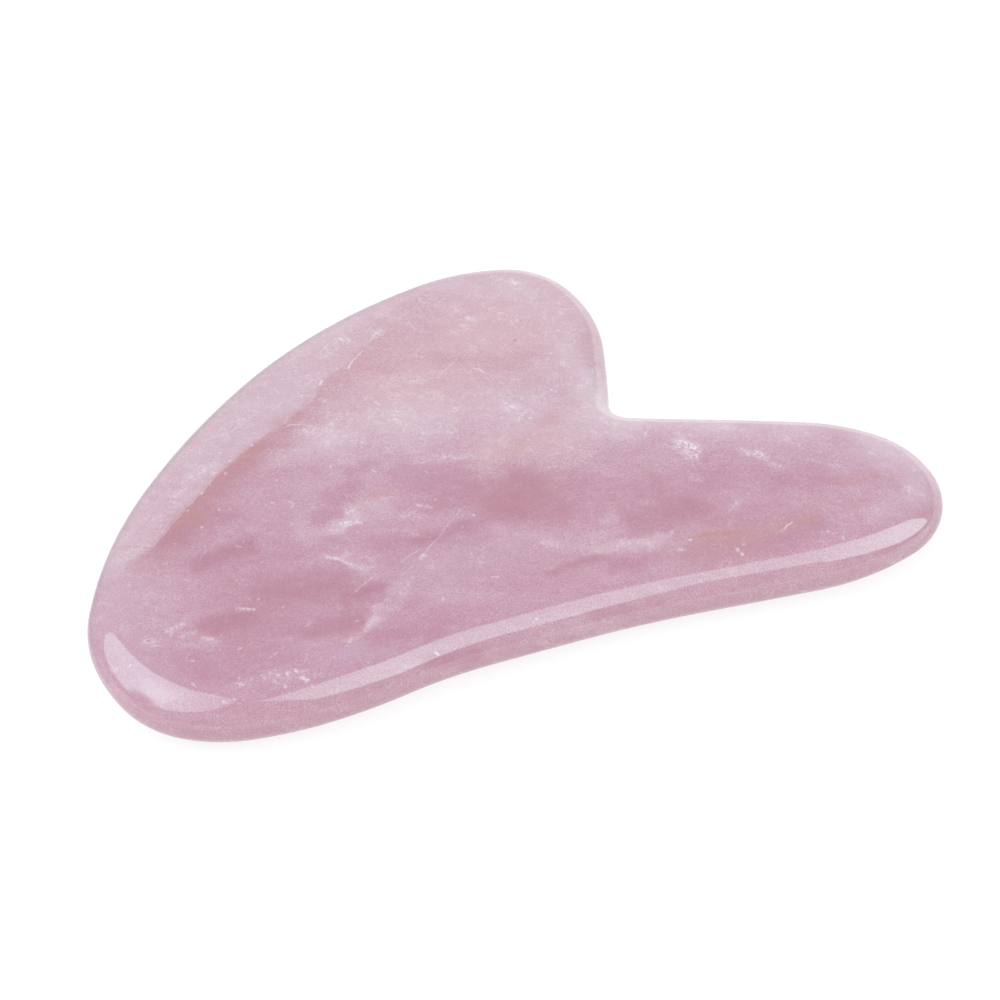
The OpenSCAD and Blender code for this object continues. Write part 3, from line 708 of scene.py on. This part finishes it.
quartz = bpy.data.materials.new("rose_quartz")
quartz.use_nodes = True
tree = Tree(quartz.node_tree)


def attr(name):
    return tree.node("ShaderNodeAttribute", attribute_name=name).outputs["Fac"]


def bend(vector, by, amount, **noise_args):
    """The vector shifted by coloured noise at another vector."""
    colour = tree.noise(by, output=1, **noise_args)
    return tree.vec("ADD", vector,
                    tree.scale(tree.vec("SUBTRACT", colour, (0.5, 0.5, 0.5)), amount))


def ridge(vector, **noise_args):
    """0 along the noise's middle level."""
    return tree.math("ABSOLUTE", tree.math("SUBTRACT", tree.noise(vector, **noise_args), 0.5))


# coordinates in mm: in place, along the dipping veils, and both bent
point = tree.scale(tree.node("ShaderNodeTexCoord").outputs["Object"], 1000.0)
point_z = tree.node("ShaderNodeSeparateXYZ", {0: point}).outputs["Z"]
below = tree.math("SUBTRACT", TOP_Z, point_z)
veil_at = tree.vec("ADD", point, tree.scale(DIP, below))
bent_veil = bend(veil_at, by=veil_at, amount=3.0, scale=0.35, detail=3)
bent_point = bend(point, by=point, amount=0.5, scale=3.2)

# wispy fibres and mottling
fibre_at = tree.node("ShaderNodeMapping", {
    "Vector": bent_veil,
    "Rotation": (0, 0, math.radians(-27)),
    "Scale": (3.2, 1.0, 1.6),
}, vector_type="TEXTURE").outputs[0]
wisps = tree.noise(fibre_at, scale=0.8, detail=5, rough=0.6)
mottle = tree.noise(bent_veil, scale=0.9, detail=5, rough=0.62)
broad = tree.noise(veil_at, scale=0.085)
grain = tree.noise(point, scale=7.5, rough=0.7)

tone = attr("tone")
for texture, gain in ((wisps, 0.95), (mottle, 0.7), (broad, 0.4), (grain, 3.2)):
    tone = tree.add(tone, tree.mul(tree.math("SUBTRACT", texture, 0.5), gain))
ramp_at = tree.math("DIVIDE", tree.math("SUBTRACT", tone, TONE_LOW), TONE_SPAN)
ramp = tree.node("ShaderNodeValToRGB", {0: ramp_at})
ramp.color_ramp.interpolation = "B_SPLINE"
elements = ramp.color_ramp.elements
while len(elements) < len(TONES):
    elements.new(0.5)
for element, (value, _) in zip(elements, TONES):
    element.position = (value - TONE_LOW) / TONE_SPAN
for element, (_, srgb) in zip(elements, TONES):
    element.color = body(*srgb)

colour = ramp.outputs[0]
colour = tree.mix(tree.mul(attr("lilac"), CAST), colour, body(203, 171, 196))
colour = tree.mix(tree.mul(attr("lilac"), -CAST), colour, body(222, 186, 186))
# rust and tan iron stains, and the painted dark border of the far rim's refracted image
stain_and_border_shade = tree.mul(attr("stain_and_border_shade"), tree.smooth(mottle, start=0.32, end=0.62, low=0.65, high=1.15))
colour = tree.mix(tree.mul(stain_and_border_shade, STAIN), colour, body(199, 152, 149))

speckle = tree.noise(bent_point, scale=3.6, detail=3, rough=0.7)
speckle = tree.smooth(speckle, start=0.44, end=0.62)
cloud = tree.mul(attr("cloud"), tree.mul_add(speckle, gain=1.0, base=0.15))
# short crooked fibres, thick in the clouds and sparse in the clear stone
strand = tree.smooth(ridge(bent_point, scale=1.25, rough=0.6), start=0.055, end=0.01)
patches = tree.noise(point, scale=0.6, detail=3, rough=0.6)
strand = tree.mul(strand, tree.smooth(patches, start=0.44, end=0.62))
milky = tree.smooth(tone, start=-0.4, end=1.6, low=0.10, high=0.55)
strand = tree.mul(strand, tree.mul_add(attr("cloud"), gain=0.9, base=milky))
# stray inclusions everywhere, sparse
cells = tree.node("ShaderNodeTexVoronoi", {"Vector": bent_point, "Scale": 0.62}, feature="F1")
cell_pick = tree.node("ShaderNodeSeparateColor", {0: cells.outputs["Color"]}).outputs[0]
stray = tree.mul(tree.smooth(cells.outputs["Distance"], start=0.095, end=0.035),
                 tree.smooth(cell_pick, start=0.55, end=0.95))
# faint healed cracks through the rim and the underside
vein = tree.mul(tree.smooth(ridge(bent_veil, scale=0.16), start=0.006, end=0.0, high=0.4, low=0.0)
                if False else
                tree.smooth(ridge(bent_veil, scale=0.16), start=0.006, end=0.0, low=0.0, high=0.4),
                tree.smooth(below, start=2.0, end=4.5))
fleck_break = tree.smooth(tree.noise(point, scale=4.2), start=0.30, end=0.52, low=0.3)
marks = tree.math("MAXIMUM", tree.mul(attr("fleck"), fleck_break), attr("crack"))
white = tree.math("MAXIMUM", tree.mul(stray, 0.35), marks)
white = tree.math("MAXIMUM", white, tree.math("MAXIMUM", vein, strand))
white = tree.math("MINIMUM", tree.add(tree.mul(white, WHITE), tree.mul(cloud, WHITE)), 1.0)
colour = tree.mix(white, colour, body(240, 229, 236))
# painted shade: the pits darkened where shade falls in them
colour = tree.mix(tree.mul(attr("pit_shade"), 0.35), colour, body(150, 112, 128))

bump = tree.node("ShaderNodeBump", {
    "Strength": 0.25,
    "Distance": 0.00001,
    "Height": tree.mul_add(marks, gain=0.5, base=tree.mul(grain, 0.03)),
})
polish = tree.mul_add(broad, gain=0.03, base=0.02)
tree.fill(quartz.node_tree.nodes["Principled BSDF"], {
    "Base Color": colour,
    "Normal": bump.outputs[0],
    "Specular IOR Level": 1.0,
    "Roughness": tree.mul_add(marks, gain=0.12, base=polish),
    "IOR": 1.54,
    "Subsurface Weight": 0.25,
    "Subsurface Radius": (1.0, 0.7, 0.8),
    "Subsurface Scale": 0.0008,
})
mesh.materials.append(quartz)
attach(plate, "root")
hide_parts("scraper_plate")

# ----------------------------------------------------------------------------
# Studio: pale glowing floor, camera, world light
# ----------------------------------------------------------------------------
YAW = math.radians(-20.8)               # turn of the camera's plan frame
VIEW_CENTRE = Vector((1.50, -5.05, 3.5)) * MM
VIEW_RISE, VIEW_DISTANCE = math.radians(43), 0.450
FLOOR_GLOW = 0.78


def from_view(x, y, z):
    """A direction given in the camera's plan frame (x right, y away), in the plate's frame."""
    return Vector((x * math.cos(YAW) - y * math.sin(YAW), x * math.sin(YAW) + y * math.cos(YAW), z))


bpy.ops.mesh.primitive_plane_add(size=6, location=(0, 0, plate_lo.z - 0.00002))
floor = bpy.context.object
floor.name = "floor"
floor_white = bpy.data.materials.new("floor_white")
floor_white.use_nodes = True
floor_tree = Tree(floor_white.node_tree)
floor_shader = floor_white.node_tree.nodes["Principled BSDF"]
floor_tree.fill(floor_shader, {
    "Base Color": (0.24, 0.24, 0.24, 1),
    "Roughness": 0.15,
    "IOR": 1.45,
    "Emission Color": (1, 1, 1, 1),
    "Emission Strength": FLOOR_GLOW,
})
floor.data.materials.append(floor_white)

# seen in the polish, the floor is dimmer at low angles, away to the left behind the plate
glossy = floor_tree.node("ShaderNodeLightPath").outputs["Is Glossy Ray"]
incoming = floor_tree.node("ShaderNodeNewGeometry").outputs["Incoming"]
away = floor_tree.dot(incoming, tuple(from_view(0.71, -0.71, 0)))
steep = floor_tree.dot(incoming, (0, 0, 1))
dark = floor_tree.mul(floor_tree.smooth(away, start=0.66, end=0.84),
                      floor_tree.smooth(steep, start=0.6, end=0.35))
dimming = floor_tree.mul_add(dark, gain=-0.62, base=-0.03)
floor_tree.fill(floor_shader, {"Emission Strength": floor_tree.mul_add(glossy, dimming, FLOOR_GLOW)})

cam_data = bpy.data.cameras.new("camera")
cam = bpy.data.objects.new("camera", cam_data)
scene.collection.objects.link(cam)
cam.location = VIEW_CENTRE + from_view(0, -math.cos(VIEW_RISE) * VIEW_DISTANCE,
                                       math.sin(VIEW_RISE) * VIEW_DISTANCE)
cam.rotation_euler = (VIEW_CENTRE - cam.location).to_track_quat("-Z", "Y").to_euler()
cam_data.lens = 167.76
cam_data.sensor_width = 36
cam_data.clip_start = 0.01
scene.camera = cam

world = bpy.data.worlds.new("studio")
scene.world = world
world.use_nodes = True
world.node_tree.nodes.clear()
sky = Tree(world.node_tree)
coord = sky.node("ShaderNodeTexCoord").outputs["Generated"]


def look(az, el):
    """A direction in the view's frame: az 0 towards the camera and + to the right, in degrees."""
    a, e = math.radians(az), math.radians(el)
    return Vector((math.sin(a) * math.cos(e), -math.cos(a) * math.cos(e), math.sin(e)))


def panel(az, el, corners, soft=0.006):
    """Mask of a flat light panel facing the object: convex corners (u, v) on the plane at unit
    distance in direction az, el, u to the right seen from the object and v up."""
    centre = look(az, el)
    right = Vector((0, 0, 1)).cross(centre).normalized()
    up = centre.cross(right)
    pairs = list(zip(corners, corners[1:] + corners[:1]))
    area = sum(u0 * v1 - u1 * v0 for (u0, v0), (u1, v1) in pairs)
    mask = None
    for (u0, v0), (u1, v1) in pairs:
        p, q = centre + right * u0 + up * v0, centre + right * u1 + up * v1
        side = p.cross(q).normalized() * (1 if area > 0 else -1)
        edge = sky.smooth(sky.dot(coord, tuple(from_view(*side))), -soft, soft)
        mask = edge if mask is None else sky.mul(mask, edge)
    return mask


def near(az, el, inner, outer):
    """1 within inner degrees of a direction, 0 beyond outer."""
    cosine = sky.dot(coord, tuple(from_view(*look(az, el))))
    return sky.smooth(cosine, math.cos(math.radians(outer)), math.cos(math.radians(inner)))


# panel corners (u, v): the key to the right of the camera, the side panel to its left
KEY = [(-0.24, -0.10), (-0.42, 0.05), (-0.29, 0.32), (-0.05, 0.38), (0.09, 0.36), (1.15, -0.55),
       (1.15, -0.64), (-0.08, -0.53), (-0.21, -0.38)]
SIDE = [(-1.03, -0.46), (-0.92, -0.73), (-0.74, -0.84), (-0.50, -0.82), (-0.27, -0.76),
        (0.11, -0.59), (0.42, -0.37), (0.72, -0.12), (0.86, 0.16), (0.87, 0.46), (0.70, 0.70),
        (0.55, 0.83), (-0.21, 0.50), (-0.52, 0.31), (-0.93, -0.11)]
LAMP_TINT = (0.68, 1.0, 0.96)
AMBIENT = 0.85
key = sky.mul(panel(52, 42, KEY), sky.mul_add(near(82, 18, inner=0, outer=50), gain=1.2, base=1.45))
glow = sky.mul_add(near(-84, 42, inner=0, outer=50), gain=1.0, base=1.1)
glow = sky.mul_add(near(-73, 47, inner=0, outer=22), gain=0.85, base=glow)
# the side panel falls off towards its foot
glow = sky.mul_add(near(-69, 15, inner=9, outer=20), gain=-1.7, base=glow)
lamps = sky.scale(LAMP_TINT, sky.add(key, sky.mul(panel(-75, 48, SIDE), glow)))
fill = sky.mul_add(near(0, 0, inner=30, outer=80), gain=0.15, base=AMBIENT)
fill = sky.mul_add(near(170, 14, inner=0, outer=30), gain=0.28, base=fill)
light = sky.vec("ADD", lamps, sky.scale((1, 1, 1), fill))
background = sky.node("ShaderNodeBackground", {"Color": light, "Strength": 1.0})
sky.node("ShaderNodeOutputWorld", {"Surface": background.outputs[0]})

scene.view_settings.view_transform = "Standard"
scene.view_settings.look = "None"
scene.view_settings.exposure = 0
scene.view_settings.gamma = 1
